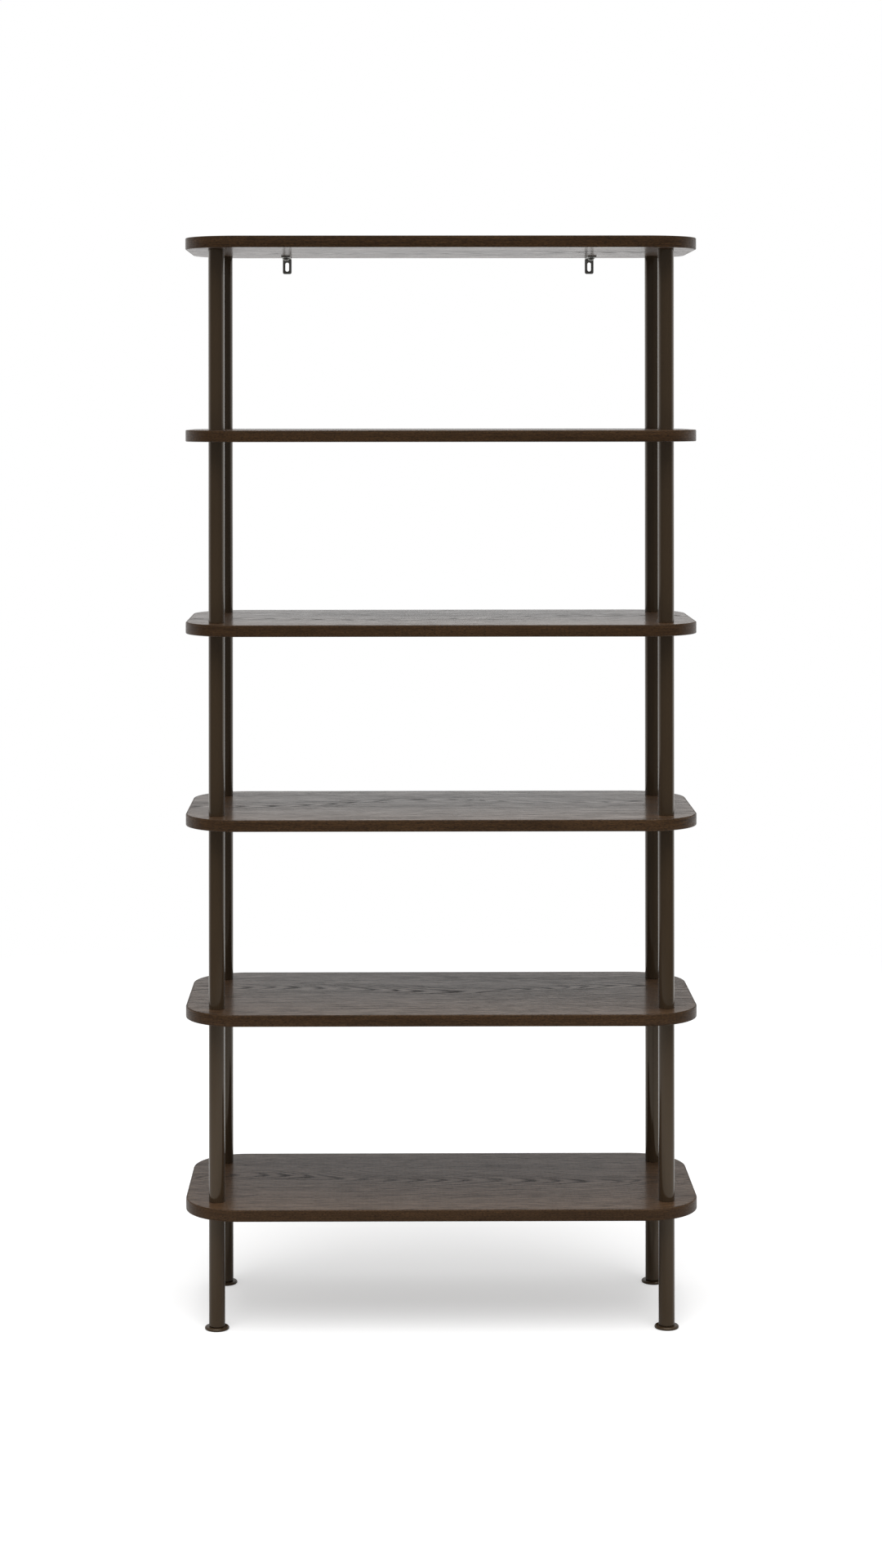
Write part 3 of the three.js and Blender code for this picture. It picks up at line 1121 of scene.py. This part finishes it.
def bent_strip(sizes):
    """The left bracket: its plate as a block, the bend spun from its top, the flat leg drawn forwards."""
    low, high = BRACKET_LOW, BRACKET_HIGH
    outer = sizes.bracket_bend + sizes.bracket_thickness
    plate_top = high.z - outer
    strip = block((low.x, high.y - sizes.bracket_thickness, low.z), (high.x, high.y, plate_top))
    edit(strip)
    pick("FACE", lambda face: face.normal.z > FACING)
    bpy.ops.mesh.spin(
        steps=BEND_STEPS, angle=QUARTER_TURN, center=(0, high.y - outer, plate_top), axis=(-1, 0, 0),
    )
    forwards = (0, low.y - (high.y - outer), 0)
    bpy.ops.mesh.extrude_region_move(TRANSFORM_OT_translate={"value": forwards})
    pick("EDGE", lambda edge: (
        runs_along(edge, 1) and edge_at(edge, 2, low.z)
        or runs_along(edge, 2) and edge_at(edge, 1, low.y)
    ))
    bevel(sizes.bracket_corner, SLOT_SEGMENTS)
    return close_shell(settle())


def bracket_slots(sizes):
    """Cutters for the slot in the plate and the slot in the flat leg."""
    low, high = BRACKET_LOW, BRACKET_HIGH
    centre = (low.x + high.x) / 2
    half = sizes.wall_slot_width / 2
    bottom = low.z + sizes.wall_slot_margin
    wall_slot = slot_cutter(
        (centre - half, high.y - sizes.bracket_thickness - OVERRUN, bottom),
        (centre + half, high.y + OVERRUN, bottom + sizes.wall_slot_length),
        through=1,
    )
    half = sizes.long_slot_width / 2
    front = low.y + sizes.long_slot_margin
    long_slot = slot_cutter(
        (centre - half, front, high.z - sizes.bracket_thickness - OVERRUN),
        (centre + half, front + sizes.bracket_travel + sizes.long_slot_width, high.z + OVERRUN),
        through=2,
    )
    return wall_slot, long_slot


class SHELVING_OT_make_brackets(bpy.types.Operator):
    """Make the two wall brackets"""

    bl_idname = "shelving.make_brackets"
    bl_label = "Make wall brackets"

    def execute(self, context):
        sizes = context.scene.shelving_sizes
        strip = bent_strip(sizes)
        cut(strip, *bracket_slots(sizes))
        break_edges(strip, sizes.bracket_break)
        smooth(strip)
        for side in SIDES:
            node = f"wall_bracket_{side}"
            dress_copy(strip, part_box(node)[0] - BRACKET_LOW, node, ZINC)
        remove(strip)
        return {"FINISHED"}


def cross_cutter(sizes):
    """One shell for the cross recess: a middle block whose four sides are drawn out into arms."""
    half = sizes.recess_width / 2
    reach = sizes.recess_span / 2 - half
    cross = block((-half, -half, -OVERRUN), (half, half, sizes.recess_depth))
    edit(cross)
    pick("FACE", lambda face: abs(face.normal.z) < FACING)
    bpy.ops.mesh.extrude_faces_move(TRANSFORM_OT_shrink_fatten={"value": reach})
    return close_shell(settle())


def bracket_screw(sizes):
    """A domed head with a cross recess, looking down, under a pointed shank."""
    head = (SCREW_HIGH.x - SCREW_LOW.x) / 2
    dome = sizes.screw_head - sizes.screw_rim
    size = SCREW_HIGH.z - SCREW_LOW.z
    profile = []
    for step in range(1, DOME_STEPS + 1):
        angle = QUARTER_TURN * step / DOME_STEPS
        profile.append((head * math.sin(angle), dome - dome * math.cos(angle)))
    profile.append((head, sizes.screw_head))
    screw = turned(profile, SMALL_SIDES)
    shank = [
        (sizes.screw_shank, sizes.screw_head / 2),
        (sizes.screw_shank, size - sizes.screw_tip),
        (sizes.washer_break, size),
    ]
    weld(screw, threaded_rod(sizes.screw_pitch, shank))
    cut(screw, cross_cutter(sizes))
    smooth(screw)
    return screw


def washer(sizes):
    """A flat ring with rounded edges."""
    outer = (WASHER_HIGH.x - WASHER_LOW.x) / 2
    thickness = WASHER_HIGH.z - WASHER_LOW.z
    rounding = sizes.washer_break
    profile = [
        (outer, rounding),
        (outer, thickness - rounding),
        (outer - rounding, thickness),
        (sizes.screw_hole + rounding, thickness),
        (sizes.screw_hole, thickness - rounding),
        (sizes.screw_hole, rounding),
        (sizes.screw_hole + rounding, 0),
        (outer - rounding, 0),
        (outer, rounding),
    ]
    ring = turned(profile, SMALL_SIDES, closed_loop=True)
    smooth(ring)
    return ring


class SHELVING_OT_make_screws(bpy.types.Operator):
    """Make the two bracket screws and their washers"""

    bl_idname = "shelving.make_screws"
    bl_label = "Make bracket screws"

    def execute(self, context):
        sizes = context.scene.shelving_sizes
        for family, make in (("bracket_screw", bracket_screw), ("bracket_washer", washer)):
            master = make(sizes)
            for side in SIDES:
                stand(master, f"{family}_{side}", ZINC)
            remove(master)
        return {"FINISHED"}


# Stage


def add_camera(stage):
    bpy.ops.object.camera_add(
        location=(stage.camera_side, -stage.camera_distance, stage.camera_height),
        rotation=(QUARTER_TURN, stage.camera_roll, -stage.camera_yaw),
    )
    camera = bpy.context.object
    camera.name = "camera"
    camera.data.lens = stage.lens
    camera.data.shift_x = stage.shift_across
    camera.data.shift_y = stage.shift_up
    bpy.context.scene.camera = camera


def add_lamp(stage):
    """One wide soft lamp, far over the unit and in front of it."""
    bpy.ops.object.light_add(type="SUN", location=(0, 0, LAMP_HEIGHT), rotation=(stage.lamp_tilt, 0, 0))
    lamp = bpy.context.object
    lamp.name = "wide lamp"
    lamp.data.energy = stage.lamp_strength
    lamp.data.angle = stage.lamp_spread


def light_world(stage):
    """White behind the unit, dimmer in front of it, and plain white where the camera looks at it."""
    world = bpy.data.worlds.new("white room")
    world.use_nodes = True
    bpy.context.scene.world = world
    shader = Shader(world.node_tree)
    _, y, z = shader.coordinates("Generated")
    height = z.raised()
    behind = shader.ramp(y.raised(), BEHIND_STOPS)
    above = shader.ramp(z, ABOVE_STOPS)
    back = shader.ramp(height, BACK_STOPS) * stage.back_level
    front = shader.ramp(height, FRONT_STOPS) * stage.front_level
    level = above.between(behind.between(front, back), stage.top_level)
    seen = shader.node("ShaderNodeLightPath", output="Is Camera Ray")
    background = shader.node(
        "ShaderNodeBackground", (), {"Color": rgba(WHITE), "Strength": seen.between(level, 1)},
    )
    shader.node("ShaderNodeOutputWorld", (), {"Surface": background})


def floor_material():
    """A white floor with the unit's shadow. In front it is dim in glosses, and close by in front it throws
    less light back: a painted shade, from a darker floor colour for that light.
    """
    material, shader = new_material("white floor")
    x, y, _ = shader.coordinates("Object")
    distance = (x * x + y * y).root()
    far = shader.spread(distance, NEAR_RADIUS, FAR_RADIUS)
    behind = shader.spread(y, 0, NEAR_RADIUS)
    seen = shader.node("ShaderNodeLightPath", output="Is Camera Ray")
    white = behind.most(seen)
    near_glow, far_glow = (
        shader.node("ShaderNodeEmission", (), {"Strength": glow})
        for glow in (white * (FLOOR_WHITE - FLOOR_LIT_SHARE), white.between(FLOOR_DIM, 1))
    )
    # Painted shade: close by in front, the floor's colour for the light it throws back is darker, so the legs
    # get less light.
    clear = shader.spread(distance, *BOUNCE_DISTANCES).most(shader.spread(y, *BOUNCE_PLACES))
    bounce = clear.between(PAINTED_SHADE_BOUNCE, BOUNCE_ELSEWHERE)
    lit = shader.node("ShaderNodeBsdfDiffuse", (), {"Color": seen.between(bounce, FLOOR_LIT_SHARE)})
    near = shader.node("ShaderNodeAddShader", (), {0: lit, 1: near_glow})
    surface = shader.node("ShaderNodeMixShader", (), {0: far, 1: near, 2: far_glow})
    shader.node("ShaderNodeOutputMaterial", (), {"Surface": surface})
    return material


def keep_under_feet(floor):
    """A foot that is screwed out lifts the unit, so the floor stays under the lowest of the four."""
    for column in COLUMNS:
        hold = floor.constraints.new("FLOOR")
        hold.target = frame["bodies"][BODY_OF_NODE[f"foot_{column}"]]
        hold.floor_location = "FLOOR_NEGATIVE_Z"


class SHELVING_OT_set_stage(bpy.types.Operator):
    """Set the camera, the lamp, the white room and the floor"""

    bl_idname = "shelving.set_stage"
    bl_label = "Set stage"

    def execute(self, context):
        stage = context.scene.shelving_stage
        select_only()
        add_camera(stage)
        add_lamp(stage)
        light_world(stage)
        select_only()
        bpy.ops.mesh.primitive_plane_add(size=FLOOR_SIZE)
        floor = settle()
        floor.name = "floor"
        floor.data.materials.append(floor_material())
        keep_under_feet(floor)
        context.scene.view_settings.view_transform = "Standard"
        return {"FINISHED"}


class SHELVING_PT_sidebar(bpy.types.Panel):
    """Lists the steps and the values that they use"""

    bl_idname = "SHELVING_PT_sidebar"
    bl_label = "Shelving unit"
    bl_space_type = "VIEW_3D"
    bl_region_type = "UI"
    bl_category = "Shelving"

    def draw(self, context):
        for operator in STEPS:
            self.layout.operator(operator.bl_idname)
        for group in (
            context.scene.shelving_sizes, context.scene.shelving_colours, context.scene.shelving_stage,
        ):
            box = self.layout.box()
            for name in type(group).__annotations__:
                box.prop(group, name)


STEPS = (
    SHELVING_OT_set_stage,
    SHELVING_OT_make_boards,
    SHELVING_OT_make_tubes,
    SHELVING_OT_make_studs,
    SHELVING_OT_make_feet,
    SHELVING_OT_make_brackets,
    SHELVING_OT_make_screws,
)
CLASSES = (ShelvingSizes, ShelvingColours, ShelvingStage, *STEPS, SHELVING_PT_sidebar)


def register():
    for each in CLASSES:
        bpy.utils.register_class(each)
    bpy.types.Scene.shelving_sizes = PointerProperty(type=ShelvingSizes)
    bpy.types.Scene.shelving_colours = PointerProperty(type=ShelvingColours)
    bpy.types.Scene.shelving_stage = PointerProperty(type=ShelvingStage)


def unregister():
    del bpy.types.Scene.shelving_stage
    del bpy.types.Scene.shelving_colours
    del bpy.types.Scene.shelving_sizes
    for each in reversed(CLASSES):
        bpy.utils.unregister_class(each)


def main():
    register()
    bpy.ops.shelving.set_stage()
    bpy.ops.shelving.make_boards()
    bpy.ops.shelving.make_tubes()
    bpy.ops.shelving.make_studs()
    bpy.ops.shelving.make_feet()
    bpy.ops.shelving.make_brackets()
    bpy.ops.shelving.make_screws()


if __name__ == "__main__":
    main()
